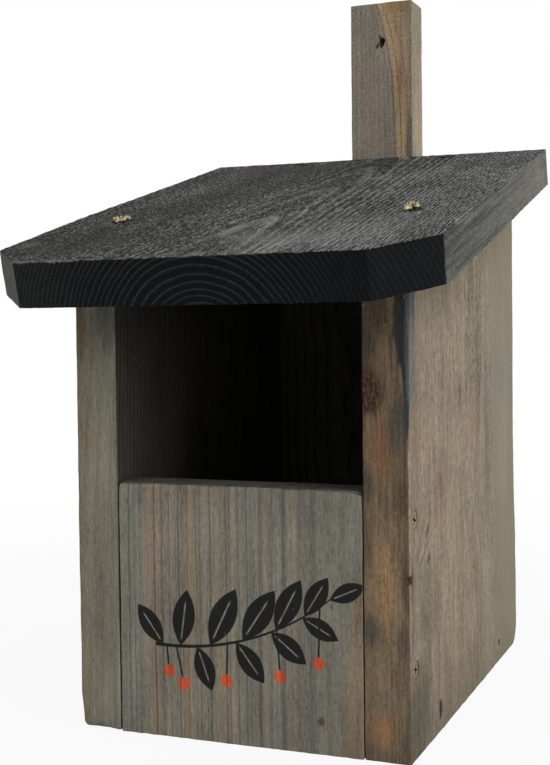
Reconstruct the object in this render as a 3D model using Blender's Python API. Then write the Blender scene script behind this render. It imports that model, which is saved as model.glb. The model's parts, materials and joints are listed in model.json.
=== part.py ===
"""An open-fronted nest box of sawn pine boards, screwed together, with a hanging batten up its back.

Metres, +Z up. The open front faces -Y and the batten's back face is the wall side.
The object's origin is the centre of its bounding box in plan, on the face that it stands on.
Inside the script everything is placed from the front faces of the side panels (y = 0) and the
bottom edges (z = 0). One empty then carries all the pieces to the origin.
"""

import math

import bmesh
import bpy
from mathutils import Matrix, Vector

# Boards of the box
BOARD = 0.020  # thickness of the side, front, back and floor boards
BOX_WIDTH = 0.152  # over the outer faces of the side panels
BOX_DEPTH = 0.214  # from the front edges of the side panels to their rear edges
SIDE_FRONT_HEIGHT = 0.1965  # a side panel's front edge, up to the roof's underside
FRONT_PANEL_HEIGHT = 0.1100
ROOF_SLOPE = math.radians(14.6)

# Roof board
ROOF_THICKNESS = 0.020
ROOF_WIDTH = 0.197
ROOF_LENGTH = 0.268  # along the slope
ROOF_CLIP_ACROSS = 0.0230  # each front corner is sawn off this far along the front edge
ROOF_CLIP_ALONG = 0.0265  # and this far along the side

# Hanging batten
BATTEN_WIDTH = 0.0365
BATTEN_THICKNESS = 0.022
BATTEN_HEIGHT = 0.361
HANGING_HOLE = 0.006  # diameter
HANGING_HOLE_BELOW_TOP = 0.0225

# Finish of the boards
EDGE_EASE = 0.0010  # rounding of the sawn arrises
EASE_STEPS = 2
FRONT_PANEL_EASE = 0.0018  # the front panel's arrises are sanded rounder
JOINT_GAP = 0.0003  # air between two pieces that are screwed face to face

# Countersunk wood screws
SCREW_HEAD = 0.0070  # diameter
SCREW_RIM = 0.0004  # height of the head's straight edge
SCREW_SHANK = 0.0035  # diameter
SCREW_TIP = 0.0050  # length of the tapered point
SCREW_POINT = 0.0006  # diameter of the blunt end of the point
SCREW_BITE = 0.020  # how far a screw runs into the second board
SCREW_TIP_COVER = 0.005  # wood left between a batten screw's point and the nest
SCREW_SUNK = 0.0006  # how far a head lies below the wood
SCREW_CLEARANCE = 0.0003  # air between a screw and its hole
RECESS_REACH = 0.0019  # half the span of the cross recess at the face of the head
RECESS_WIDTH = 0.0009
RECESS_DEPTH = 0.0015
RECESS_FLOOR_SHARE = 0.4  # the recess's floor against its mouth
ROUND_SIDES = 20
SMOOTH_LIMIT = math.radians(30)  # turned faces that meet at less than this are shaded as one
CUTTER_OVERRUN = 0.002

# Places of the screws
ROOF_FRONT_SCREW_BACK = 0.0325  # behind the box's front face, on top of the roof
ROOF_FRONT_SCREW_SHARE = 0.3  # of a board's thickness, in from the box's outer face
ROOF_REAR_SCREW_SHARE = 0.75  # of half the inner width, out from the middle
FRONT_SCREW_INSET = 0.0078  # behind the box's front face
FRONT_SCREW_LOWER = 0.037  # height of the front panel's lower screws
FRONT_SCREW_BELOW_TOP = 0.012  # the upper screws, below the front panel's top
FLOOR_SCREW_INSET = 0.026  # from each end of the floor board
BACK_SCREW_HEIGHT = 0.054
BATTEN_SCREW_LOWER = 0.040  # height of the batten's lower screw
BATTEN_SCREW_BELOW_TOP = 0.050  # the upper screw, below the back panel's top

# Weathered pine, and the screws' yellow zinc, as linear red, green and blue
SIDE_COLOUR = (0.205, 0.180, 0.138)
FRONT_COLOUR = (0.200, 0.188, 0.150)
INSIDE_COLOUR = (0.125, 0.105, 0.080)
ROOF_COLOUR = (0.068, 0.068, 0.065)
BATTEN_COLOUR = (0.190, 0.165, 0.125)
WOOD_ROUGHNESS = 0.8
ZINC_COLOUR = (0.62, 0.47, 0.22)
ZINC_ROUGHNESS = 0.35

SLOPE_RISE = math.tan(ROOF_SLOPE)
INNER_HALF = BOX_WIDTH / 2 - BOARD
HALF_BOARD = BOARD / 2
SIDES = (("left", -1), ("right", 1))


def underside_height(y):
    """Height of the roof's underside above the point y of the box."""
    return SIDE_FRONT_HEIGHT + y * SLOPE_RISE


def panel_top(y):
    """Height at which a board below the roof ends, one joint gap under it."""
    return underside_height(y) - JOINT_GAP / math.cos(ROOF_SLOPE)


def roof_matrix():
    """Frame of the roof board: x across, y up the slope from the lower front corner, z out of its top.

    The board's rear end is sawn square, and its lower rear edge stands one joint gap before the batten.
    """
    rear_y = BOX_DEPTH
    run = ROOF_LENGTH * math.cos(ROOF_SLOPE)
    front_y = rear_y - run
    corner = Vector((0, front_y, underside_height(front_y)))
    return Matrix.Translation(corner) @ Matrix.Rotation(ROOF_SLOPE, 4, "X")


def surface(name, colour, roughness, metallic=0):
    """A plain material: its colour in linear red, green and blue."""
    material = bpy.data.materials.new(name)
    material.use_nodes = True
    shader = material.node_tree.nodes["Principled BSDF"]
    shader.inputs["Base Color"].default_value = (*colour, 1)
    shader.inputs["Roughness"].default_value = roughness
    shader.inputs["Metallic"].default_value = metallic
    material.diffuse_color = (*colour, 1)
    material.roughness = roughness
    material.metallic = metallic
    return material


def clear_scene():
    for thing in list(bpy.data.objects):
        bpy.data.objects.remove(thing, do_unlink=True)


def add_object(name, mesh, carrier, material=None):
    thing = bpy.data.objects.new(name, mesh)
    bpy.context.scene.collection.objects.link(thing)
    thing.parent = carrier
    if material is not None:
        mesh.materials.clear()
        mesh.materials.append(material)
    return thing


def prism(name, outline, thickness):
    """Mesh of a flat outline in the plane x, y, extruded up by the thickness."""
    work = bmesh.new()
    corners = [work.verts.new((x, y, 0)) for x, y in outline]
    face = work.faces.new(corners)
    raised = bmesh.ops.extrude_face_region(work, geom=[face])
    moved = [item for item in raised["geom"] if isinstance(item, bmesh.types.BMVert)]
    bmesh.ops.translate(work, verts=moved, vec=(0, 0, thickness))
    bmesh.ops.recalc_face_normals(work, faces=work.faces)
    mesh = bpy.data.meshes.new(name)
    work.to_mesh(mesh)
    work.free()
    return mesh


def from_side_view(x):
    """Frame of an outline drawn from the side: its first coordinate runs along y, its second up z.

    The board's thickness runs from x towards +x.
    """
    return Matrix(((0, 0, 1, x), (1, 0, 0, 0), (0, 1, 0, 0), (0, 0, 0, 1)))


def from_front_view(y):
    """Frame of an outline drawn from the front: the thickness runs from y towards -y."""
    return Matrix.Translation((0, y, 0)) @ Matrix.Rotation(math.pi / 2, 4, "X")


def ease_edges(thing, radius):
    """Rounds every sawn arris of a board."""
    bevel = thing.modifiers.new("eased_edges", "BEVEL")
    bevel.width = radius
    bevel.segments = EASE_STEPS
    bevel.limit_method = "ANGLE"
    bevel.harden_normals = False


def turned(name, profile):
    """Mesh turned about z from a profile of (radius, height) points that starts at the top.

    The first and last points are flat discs' edges, so the shape is closed by two flat ends.
    """
    work = bmesh.new()
    rings = []
    for radius, height in profile:
        angles = (2 * math.pi * side / ROUND_SIDES for side in range(ROUND_SIDES))
        ring = [work.verts.new((radius * math.cos(a), radius * math.sin(a), height)) for a in angles]
        rings.append(ring)
    for upper, lower in zip(rings, rings[1:]):
        for side in range(ROUND_SIDES):
            after = (side + 1) % ROUND_SIDES
            work.faces.new((upper[side], lower[side], lower[after], upper[after]))
    work.faces.new(rings[0])
    work.faces.new(list(reversed(rings[-1])))
    bmesh.ops.recalc_face_normals(work, faces=work.faces)
    mesh = bpy.data.meshes.new(name)
    work.to_mesh(mesh)
    work.free()
    return mesh


def screw_profile(length, clearance):
    """Outline of a countersunk screw from its face down, grown by a clearance.

    With a clearance the outline starts above the wood, so that it cuts the mouth of the hole too.
    """
    head = SCREW_HEAD / 2 + clearance
    shank = SCREW_SHANK / 2 + clearance
    point = SCREW_POINT / 2 + clearance
    face = CUTTER_OVERRUN if clearance else -SCREW_SUNK
    rim = -SCREW_SUNK - SCREW_RIM - clearance
    return (
        (head, face),
        (head, rim),
        (shank, rim - (head - shank)),
        (shank, -(length - SCREW_TIP) - clearance),
        (point, -length - clearance),
    )


def cross_recess():
    """Mesh of the tapered cross that a driver leaves in a head."""
    half = RECESS_WIDTH / 2
    reach = RECESS_REACH
    quarter = ((reach, -half), (reach, half), (half, half))
    outline = []
    for turn in range(4):
        spin = Matrix.Rotation(turn * math.pi / 2, 2)
        outline.extend(spin @ Vector(corner) for corner in quarter)
    work = bmesh.new()
    mouth = [work.verts.new((x, y, -SCREW_SUNK + CUTTER_OVERRUN)) for x, y in outline]
    waist = [work.verts.new((x, y, -SCREW_SUNK)) for x, y in outline]
    bottom = -SCREW_SUNK - RECESS_DEPTH
    floor = [work.verts.new((x * RECESS_FLOOR_SHARE, y * RECESS_FLOOR_SHARE, bottom)) for x, y in outline]
    count = len(outline)
    for upper, lower in ((mouth, waist), (waist, floor)):
        for side in range(count):
            after = (side + 1) % count
            work.faces.new((upper[side], lower[side], lower[after], upper[after]))
    work.faces.new(mouth)
    work.faces.new(list(reversed(floor)))
    bmesh.ops.recalc_face_normals(work, faces=work.faces)
    mesh = bpy.data.meshes.new("cross_recess")
    work.to_mesh(mesh)
    work.free()
    return mesh


def cut(thing, cutter):
    boolean = thing.modifiers.new("hole_" + cutter.name, "BOOLEAN")
    boolean.operation = "DIFFERENCE"
    boolean.solver = "EXACT"
    boolean.object = cutter


def hide_cutter(cutter):
    cutter.hide_render = True
    cutter.display_type = "WIRE"


def screw_mesh(length, material):
    """A screw of this length with its cross recess cut, as one mesh that like screws share."""
    blank = add_object("screw_blank", turned("screw_blank", screw_profile(length, 0)), None)
    tool = add_object("recess_tool", cross_recess(), None)
    cut(blank, tool)
    bpy.context.view_layer.update()
    graph = bpy.context.evaluated_depsgraph_get()
    mesh = bpy.data.meshes.new_from_object(blank.evaluated_get(graph))
    bpy.data.objects.remove(blank, do_unlink=True)
    bpy.data.objects.remove(tool, do_unlink=True)
    mesh.materials.clear()
    mesh.materials.append(material)
    mesh.shade_smooth()
    mesh.set_sharp_from_angle(angle=SMOOTH_LIMIT)
    return mesh


def facing(point, direction):
    """Frame whose origin is a point of the wood and whose +z points out of it."""
    return Matrix.Translation(point) @ Vector(direction).to_track_quat("Z", "Y").to_matrix().to_4x4()


def drive_screw(name, mesh, length, frame, carrier, boards):
    """Places a screw by the frame of its mouth, and cuts its hole through the boards that it joins."""
    screw = add_object(name, mesh, carrier)
    screw.matrix_local = frame
    hole = turned(name + "_hole", screw_profile(length, SCREW_CLEARANCE))
    cutter = add_object(name + "_hole", hole, carrier)
    cutter.matrix_local = frame
    hide_cutter(cutter)
    for board in boards:
        cut(board, cutter)


def side_panel(side, sign, carrier, material):
    """One side of the box: a board with its top sawn to the roof's slope."""
    outline = (
        (0, 0),
        (BOX_DEPTH, 0),
        (BOX_DEPTH, panel_top(BOX_DEPTH)),
        (0, panel_top(0)),
    )
    panel = add_object(side + "_side_panel", prism(side + "_side_panel", outline, BOARD), carrier, material)
    inner = sign * INNER_HALF
    outer = sign * BOX_WIDTH / 2
    panel.matrix_local = from_side_view(min(inner, outer))
    ease_edges(panel, EDGE_EASE)
    return panel


def front_panel(carrier, material):
    """The low front board, let in flush between the side panels."""
    half = INNER_HALF - JOINT_GAP
    outline = ((-half, 0), (half, 0), (half, FRONT_PANEL_HEIGHT), (-half, FRONT_PANEL_HEIGHT))
    panel = add_object("front_panel", prism("front_panel", outline, BOARD), carrier, material)
    panel.matrix_local = from_front_view(BOARD)
    ease_edges(panel, FRONT_PANEL_EASE)
    return panel


def back_panel(carrier, material):
    """The back board, let in between the side panels and sawn to the roof's slope."""
    half = INNER_HALF - JOINT_GAP
    front = BOX_DEPTH - BOARD
    outline = (
        (front, 0),
        (BOX_DEPTH, 0),
        (BOX_DEPTH, panel_top(BOX_DEPTH)),
        (front, panel_top(front)),
    )
    panel = add_object("back_panel", prism("back_panel", outline, 2 * half), carrier, material)
    panel.matrix_local = from_side_view(-half)
    ease_edges(panel, EDGE_EASE)
    return panel


def floor_board(carrier, material):
    """The floor, between the four walls and flush with their bottom edges."""
    half = INNER_HALF - JOINT_GAP
    front = BOARD + JOINT_GAP
    rear = BOX_DEPTH - BOARD - JOINT_GAP
    outline = ((-half, front), (half, front), (half, rear), (-half, rear))
    floor = add_object("floor_board", prism("floor_board", outline, BOARD), carrier, material)
    ease_edges(floor, EDGE_EASE)
    return floor


def roof_board(carrier, material):
    """The sloping roof, with both front corners sawn off."""
    half = ROOF_WIDTH / 2
    outline = (
        (-half + ROOF_CLIP_ACROSS, 0),
        (half - ROOF_CLIP_ACROSS, 0),
        (half, ROOF_CLIP_ALONG),
        (half, ROOF_LENGTH),
        (-half, ROOF_LENGTH),
        (-half, ROOF_CLIP_ALONG),
    )
    roof = add_object("roof_board", prism("roof_board", outline, ROOF_THICKNESS), carrier, material)
    roof.matrix_local = roof_matrix()
    ease_edges(roof, EDGE_EASE)
    return roof


def hanging_batten(carrier, material):
    """The upright batten on the back, with a hole near its top for the nail or hook."""
    half = BATTEN_WIDTH / 2
    outline = ((-half, 0), (half, 0), (half, BATTEN_HEIGHT), (-half, BATTEN_HEIGHT))
    strip = prism("hanging_batten", outline, BATTEN_THICKNESS)
    batten = add_object("hanging_batten", strip, carrier, material)
    rear = BOX_DEPTH + JOINT_GAP + BATTEN_THICKNESS
    batten.matrix_local = from_front_view(rear)
    ease_edges(batten, EDGE_EASE)
    radius = HANGING_HOLE / 2
    reach = BATTEN_THICKNESS + 2 * CUTTER_OVERRUN
    drill = add_object("hanging_hole", turned("hanging_hole", ((radius, reach), (radius, 0))), carrier)
    height = BATTEN_HEIGHT - HANGING_HOLE_BELOW_TOP
    drill.matrix_local = Matrix.Translation((0, 0, height)) @ from_front_view(rear + CUTTER_OVERRUN)
    hide_cutter(drill)
    cut(batten, drill)
    return batten


def place_side_screws(boards, steel, carrier):
    """Screws through each side panel into the front panel, the floor and the back panel."""
    length = BOARD + SCREW_BITE
    mesh = screw_mesh(length, steel)
    floor_front = BOARD + FLOOR_SCREW_INSET
    floor_rear = BOX_DEPTH - BOARD - FLOOR_SCREW_INSET
    upper = FRONT_PANEL_HEIGHT - FRONT_SCREW_BELOW_TOP
    front = boards["front_panel"]
    for side, sign in SIDES:
        panel = boards[side + "_side_panel"]
        places = (
            ("floor_screw_front_" + side, floor_front, HALF_BOARD, boards["floor_board"]),
            ("floor_screw_rear_" + side, floor_rear, HALF_BOARD, boards["floor_board"]),
            ("back_panel_screw_" + side, BOX_DEPTH - HALF_BOARD, BACK_SCREW_HEIGHT, boards["back_panel"]),
            ("front_panel_screw_lower_" + side, FRONT_SCREW_INSET, FRONT_SCREW_LOWER, front),
            ("front_panel_screw_upper_" + side, FRONT_SCREW_INSET, upper, front),
        )
        for name, y, z, other in places:
            frame = facing((sign * BOX_WIDTH / 2, y, z), (sign, 0, 0))
            drive_screw(name, mesh, length, frame, carrier, (panel, other))


def place_roof_screws(boards, steel, carrier):
    """Screws down through the roof, square to it: two into the side panels, two into the back panel."""
    length = ROOF_THICKNESS + SCREW_BITE
    mesh = screw_mesh(length, steel)
    roof = boards["roof_board"]
    slope = roof_matrix()
    front_y = slope.translation.y
    up = ROOF_THICKNESS
    # Distances up the slope, from the roof's front end, of the two rows of screws.
    front_up = (ROOF_FRONT_SCREW_BACK - front_y + up * math.sin(ROOF_SLOPE)) / math.cos(ROOF_SLOPE)
    rear_up = (BOX_DEPTH - HALF_BOARD - front_y) / math.cos(ROOF_SLOPE)
    front_x = BOX_WIDTH / 2 - ROOF_FRONT_SCREW_SHARE * BOARD
    rear_x = ROOF_REAR_SCREW_SHARE * INNER_HALF
    for side, sign in SIDES:
        rows = (
            ("roof_screw_front_" + side, sign * front_x, front_up, boards[side + "_side_panel"]),
            ("roof_screw_rear_" + side, sign * rear_x, rear_up, boards["back_panel"]),
        )
        for name, x, along, other in rows:
            frame = slope @ Matrix.Translation((x, along, up))
            drive_screw(name, mesh, length, frame, carrier, (roof, other))


def place_batten_screws(boards, steel, carrier):
    """Screws through the batten from the wall side into the back panel."""
    length = BATTEN_THICKNESS + JOINT_GAP + BOARD - SCREW_TIP_COVER
    mesh = screw_mesh(length, steel)
    rear = BOX_DEPTH + JOINT_GAP + BATTEN_THICKNESS
    pair = (boards["hanging_batten"], boards["back_panel"])
    upper = panel_top(BOX_DEPTH) - BATTEN_SCREW_BELOW_TOP
    for level, height in (("lower", BATTEN_SCREW_LOWER), ("upper", upper)):
        frame = facing((0, rear, height), (0, 1, 0))
        drive_screw("batten_screw_" + level, mesh, length, frame, carrier, pair)


def carrier_empty():
    """The empty that brings the middle of the object's length to the origin."""
    # The roof's top front arris is rounded, which takes a little off the object's reach.
    lean = math.cos(ROOF_SLOPE) + math.sin(ROOF_SLOPE) - 1
    tip = roof_matrix() @ Vector((0, 0, ROOF_THICKNESS))
    reach = tip.y + EDGE_EASE * lean
    rear = BOX_DEPTH + JOINT_GAP + BATTEN_THICKNESS
    empty = bpy.data.objects.new("nest_box", None)
    bpy.context.scene.collection.objects.link(empty)
    empty.location = (0, -(reach + rear) / 2, 0)
    return empty


def build():
    clear_scene()
    carrier = carrier_empty()
    boards = {}
    for side, sign in SIDES:
        pine = surface(side + "_side_pine", SIDE_COLOUR, WOOD_ROUGHNESS)
        boards[side + "_side_panel"] = side_panel(side, sign, carrier, pine)
    makers = (
        ("front_panel", front_panel, FRONT_COLOUR),
        ("back_panel", back_panel, INSIDE_COLOUR),
        ("floor_board", floor_board, INSIDE_COLOUR),
        ("roof_board", roof_board, ROOF_COLOUR),
        ("hanging_batten", hanging_batten, BATTEN_COLOUR),
    )
    for name, maker, colour in makers:
        boards[name] = maker(carrier, surface(name + "_pine", colour, WOOD_ROUGHNESS))
    steel = surface("yellow_zinc_steel", ZINC_COLOUR, ZINC_ROUGHNESS, metallic=1)
    place_side_screws(boards, steel, carrier)
    place_roof_screws(boards, steel, carrier)
    place_batten_screws(boards, steel, carrier)


build()
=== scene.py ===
"""An open-fronted nest box of weathered sawn pine, screwed together, with its hanging batten."""

import json
import math

import bpy
import numpy as np
from mathutils import Matrix, Vector

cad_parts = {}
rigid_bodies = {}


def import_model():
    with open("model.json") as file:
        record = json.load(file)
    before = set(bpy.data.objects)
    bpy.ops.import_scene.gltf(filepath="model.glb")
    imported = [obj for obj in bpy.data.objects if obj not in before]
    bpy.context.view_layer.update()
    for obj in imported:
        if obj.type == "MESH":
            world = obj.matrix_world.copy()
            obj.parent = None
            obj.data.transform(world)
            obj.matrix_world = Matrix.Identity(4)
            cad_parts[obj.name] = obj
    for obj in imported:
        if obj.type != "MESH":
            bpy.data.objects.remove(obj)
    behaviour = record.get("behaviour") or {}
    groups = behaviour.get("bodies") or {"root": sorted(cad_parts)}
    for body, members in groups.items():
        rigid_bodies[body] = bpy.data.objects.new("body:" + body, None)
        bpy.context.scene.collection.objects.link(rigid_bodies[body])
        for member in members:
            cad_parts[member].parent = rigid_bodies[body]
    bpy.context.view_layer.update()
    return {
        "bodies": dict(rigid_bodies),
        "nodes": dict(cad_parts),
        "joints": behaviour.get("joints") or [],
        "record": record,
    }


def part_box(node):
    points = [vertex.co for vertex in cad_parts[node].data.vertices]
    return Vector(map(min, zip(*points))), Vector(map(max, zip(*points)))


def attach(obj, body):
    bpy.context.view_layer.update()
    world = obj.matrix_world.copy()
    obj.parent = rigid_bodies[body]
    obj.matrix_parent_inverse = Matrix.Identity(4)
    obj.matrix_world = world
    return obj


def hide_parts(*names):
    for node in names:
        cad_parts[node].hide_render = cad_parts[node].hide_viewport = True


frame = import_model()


# Left side panel
#
# An upright board of rough-sawn pine, its top sawn to the roof's slope and its grain upright. It
# was stained thinly and has weathered to a grey brown. Screws through it hold the other boards.

ROOF_SLOPE = math.radians(14.6)
SLOPE_RISE = math.tan(ROOF_SLOPE)
PANEL_STEP = (0.0025, 0.0026, 0.0026)  # between the grid lines of a panel's faces
SCREW_STEP = 0.0005  # between the closer lines round a screw
SCREW_FIELD = 0.0045  # how far those reach from the screw's axis
ARRIS_STEPS = np.array((0, 0.0003, 0.0007, 0.0012, 0.0018, 0.0026))  # grid lines beside an arris
ARRIS = 0.0007  # rounding of the sawn arrises
ARRIS_WEAR = 0.35  # the rounding is this share larger or smaller in places
WEAR_WAVES = (0.03, 0.03, 0.03)  # rough lengths of those places along the axes
WAVES = 28  # sine waves in each sum of them
WAVER = 0.00022  # how far the sawn faces dip below true
DIPS = (0.012, 0.012, 0.045)  # rough lengths of the dips along the axes,
FINE_DIPS = (0.004, 0.004, 0.012)  # and of the finer ones
DIPS_SHARE = 0.6  # of the whole unevenness
SHARP_TURN = math.radians(35)  # faces that meet at more than this are shaded apart
LEVEL_BELOW = 0.112  # a side panel's grid lines are level up to here, and slope more and more above
HOLLOW_DEPTH = 0.0013  # wood pressed in round a screw head
FUNNEL = (0.0038, 0.0038)  # half spans of the hollow round a head that shows
SLIT = (0.0011, 0.0034)  # of the gap over a head that the wood has half closed on
NICK = (0.0011, 0.0019)  # a shorter gap
PINHOLE = (0.0009, 0.0012)  # and of the one over a head that it has nearly covered
HOLLOW_WALL = (0.90, 1.06)  # its wall runs between these shares of its half span
HOLLOWS = (("front_panel_screw_lower", FUNNEL), ("front_panel_screw_upper", FUNNEL),
           ("floor_screw_front", SLIT), ("floor_screw_rear", NICK), ("back_panel_screw", PINHOLE))
SCREW_HEAD = 0.0070
CHIP_REACH = (0.0035, 0.0035, 0.0022)
CHIP_DEPTH = 0.0009
CHIP_WALL = (0.4, 1.0)  # its wall runs between these shares of its reach,
CHIP_RAGGED = 0.3  # which waves shift by up to this share
CHIP_WAVES = (0.002, 0.002, 0.002)
CORNER_FADE = (0.3, 1.0)  # the wear of a bottom corner fades between these shares of its reach
MILLIMETRES = 1000.0  # patterns are written in millimetres


def stations(low, high, step, screws=()):
    """Grid lines from low to high: even steps, with closer lines at both ends and round each screw."""
    field = np.arange(-SCREW_FIELD, SCREW_FIELD, SCREW_STEP)
    near = [place + field for place in screws]
    even = np.linspace(low, high, int(round((high - low) / step)) + 1)
    lines = np.clip(np.concatenate([even, low + ARRIS_STEPS, high - ARRIS_STEPS, *near]), low, high)
    spaces = int((high - low) / ARRIS_STEPS[1])
    return low + (high - low) * np.unique(np.round((lines - low) / (high - low) * spaces)) / spaces


def cells(numbers):
    """The quads between the points of a grid of numbers, one row for each quad."""
    around = (numbers[:-1, :-1], numbers[1:, :-1], numbers[1:, 1:], numbers[:-1, 1:])
    return np.stack(around, axis=-1).reshape(-1, 4)


def strides(lines):
    """How much a point's number grows with one step along each axis of the lattice."""
    return np.array((len(lines[1]) * len(lines[2]), len(lines[2]), 1))


def skin(lines):
    """The six faces of a block as grids of two parameters each, in the lattice's numbers.

    A point's number is the sum of its places along the axes, each times that axis's stride, so that
    equal numbers are one point.
    """
    step = strides(lines)
    faces = []
    for axis in range(3):
        u, v = (axis + 1) % 3, (axis + 2) % 3
        face = np.arange(len(lines[u]))[:, None] * step[u] + np.arange(len(lines[v])) * step[v]
        far_end = (len(lines[axis]) - 1) * step[axis]
        faces += [cells(face)[:, ::-1], cells(face + far_end)]
    return np.concatenate(faces)


def join(lines, quads):
    """The points that the quads use, each of them once, and the quads in their numbers."""
    numbers, quads = np.unique(quads, return_inverse=True)
    step = strides(lines)
    index = (numbers // step[0], numbers // step[1] % len(lines[1]), numbers % len(lines[2]))
    return np.stack([line[i] for line, i in zip(lines, index)], axis=1), quads.reshape(-1, 4)


def round_over(points, low, high, radius):
    """Rounds a block's arrises.

    Each point moves onto the ball of the given radius round the nearest point of a core, which is
    the block made smaller by that radius on every side. Returns the places and outward directions.
    """
    radius = np.reshape(radius, (-1, 1)) * np.ones((len(points), 1))
    core = np.clip(points, low + radius, high - radius)
    out = points - core
    out /= np.maximum(np.linalg.norm(out, axis=1, keepdims=True), radius / 100)
    return core + out * radius, out


def waves(points, lengths, seed):
    """Smooth unevenness from -1 to 1: a sum of sine waves with random directions and phases.

    The three lengths are the waves' rough lengths along the axes, in metres.
    """
    random = np.random.default_rng(seed)
    turns = random.normal(size=(WAVES, 3)) / np.asarray(lengths)
    phases = random.uniform(0, 2 * math.pi, WAVES)
    total = np.sin(2 * math.pi * points @ turns.T + phases).sum(axis=1)
    return np.clip(total / math.sqrt(WAVES), -1, 1)


def rise(value, low, high):
    """0 below low, 1 above high, with a smooth S between them: 3t squared less 2t cubed."""
    t = np.clip((value - low) / (high - low), 0, 1)
    return t * t * (3 - 2 * t)


def waver(points, out, seed, depth=WAVER):
    """Lets the faces dip below true by up to the depth, in waves drawn out along the grain."""
    dip = 0.5 + 0.5 * waves(points, DIPS, seed)
    fine = 0.5 + 0.5 * waves(points, FINE_DIPS, seed + 1)
    return points - out * (depth * (DIPS_SHARE * dip + (1 - DIPS_SHARE) * fine))[:, None]


def sawn_board(low, high, step, seed, screws=((), (), ()), arris=ARRIS, depth=WAVER):
    """A sawn board's points and quads: a block with worn arrises and slightly uneven faces."""
    lines = [stations(*ends) for ends in zip(low, high, step, screws)]
    points, quads = join(lines, skin(lines))
    worn = arris(points) if callable(arris) else arris
    worn = worn * (1 + ARRIS_WEAR * waves(points, WEAR_WAVES, seed))
    points, out = round_over(points, low, high, worn)
    return waver(points, out, seed + 2, depth), quads


def hollow(points, centre, inward, half_spans, depth):
    """How far the points sink towards inward: depth inside an ellipse, rising to nothing at its rim."""
    inward = np.asarray(inward, float)
    other = np.cross(inward, (0, 0, 1.0)) if abs(inward[2]) < 0.9 else np.array((1.0, 0, 0))
    upright = np.cross(other, inward)
    offset = points - centre
    far = np.hypot(offset @ other / half_spans[0], offset @ upright / half_spans[1])
    near = np.abs(offset @ inward) < 2 * half_spans[1]
    return inward * (depth * near * (1 - rise(far, *HOLLOW_WALL)))[:, None]


def corners(node):
    """Lowest and highest corner of a node of the frame."""
    return [np.array(corner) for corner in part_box(node)]


def head_of(node, outward):
    """Middle of a screw head's face: its box's end on the outward side, less the head's own spread."""
    low, high = corners(node)
    outward = np.asarray(outward, float)
    spread = SCREW_HEAD / 2 * np.sqrt(1 - outward ** 2)
    facing = np.where(outward > 0, high - spread, low + spread)
    return np.where(outward == 0, (low + high) / 2, facing)


def slope_top(points, low, high):
    """Shears a board's upper part so that its level top from low to high follows the roof's slope."""
    slope = rise(points[:, 2], LEVEL_BELOW, high[2])
    points[:, 2] += slope * (points[:, 1] - low[1]) * SLOPE_RISE


def side_panel(side, inward, seed, worn_corner, chip_height=0.0):
    """A side panel: a sawn board, hollowed round its screws, its top sheared to the roof's slope.

    One bottom corner is worn rounder: worn_corner gives its place, the reach of the wear and how
    much that adds. A chip is out of the front arris where a knot ends.
    """
    low, high = corners(side + "_side_panel")
    high[2] -= (high[1] - low[1]) * SLOPE_RISE
    heads = [(head_of(name + "_" + side, (-inward, 0, 0)), spans) for name, spans in HOLLOWS]
    outer = low[0] if inward > 0 else high[0]
    screws = ((), [centre[1] for centre, _ in heads], [centre[2] for centre, _ in heads] + [chip_height])
    corner, reach, wear = worn_corner

    def arris(points):
        offset = (points - (outer, *corner)) / reach
        return ARRIS + wear * (1 - rise(np.linalg.norm(offset, axis=1), *CORNER_FADE))

    points, quads = sawn_board(low, high, PANEL_STEP, seed, screws, arris)
    for centre, spans in heads:
        points += hollow(points, centre, (inward, 0, 0), spans, HOLLOW_DEPTH)
    torn = np.linalg.norm((points - (outer, low[1], chip_height)) / CHIP_REACH, axis=1)
    torn = torn + CHIP_RAGGED * waves(points, CHIP_WAVES, seed)
    chip = (1 - rise(torn, *CHIP_WALL)) * (chip_height > 0)
    points += np.outer(chip, (inward * CHIP_DEPTH, CHIP_DEPTH, 0))
    slope_top(points, low, high)
    return points, quads


def add_object(name, data):
    made = bpy.data.objects.new(name, data)
    bpy.context.scene.collection.objects.link(made)
    return made


def add_piece(name, points, faces, material, nodes, slot):
    """Makes a mesh of the points and faces, rides it on the box and puts it in the nodes' place."""
    mesh = bpy.data.meshes.new(name)
    mesh.from_pydata(points.tolist(), [], [list(face) for face in faces])
    mesh.shade_smooth()
    mesh.set_sharp_from_angle(angle=SHARP_TURN)
    mesh.materials.append(material)
    piece = add_object(name, mesh)
    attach(piece, "root")
    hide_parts(*nodes)
    return piece


def operator(operation, reflected=False):
    """The method of a Value that adds a Math node of this kind. Reflected, it is the second operand."""
    def apply(self, other):
        return self.finish.math(operation, *((other, self) if reflected else (self, other)))
    return apply


class Value:
    """A socket of a finish. Arithmetic on it adds Math nodes, so that patterns read as formulas."""

    def __init__(self, finish, socket):
        self.finish = finish
        self.socket = socket

    __add__ = __radd__ = operator("ADD")
    __sub__ = operator("SUBTRACT")
    __rsub__ = operator("SUBTRACT", reflected=True)
    __mul__ = __rmul__ = operator("MULTIPLY")
    __truediv__ = operator("DIVIDE")
    __pow__ = operator("POWER")

    def __abs__(self):
        return self.finish.math("ABSOLUTE", self)

    def over(self, low, high):
        """0 where this is low, 1 where it is high, with a smooth S between them."""
        settings = {"interpolation_type": "SMOOTHSTEP"}
        return self.finish.node("ShaderNodeMapRange", settings, {0: self, 1: low, 2: high})

    def under(self, low, high):
        """1 where this is low, 0 where it is high."""
        return 1 - self.over(low, high)

    def band(self, low, high, soft):
        """1 where this lies between low and high, with soft ends of this width."""
        return self.over(low, low + soft) * self.under(high - soft, high)


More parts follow.
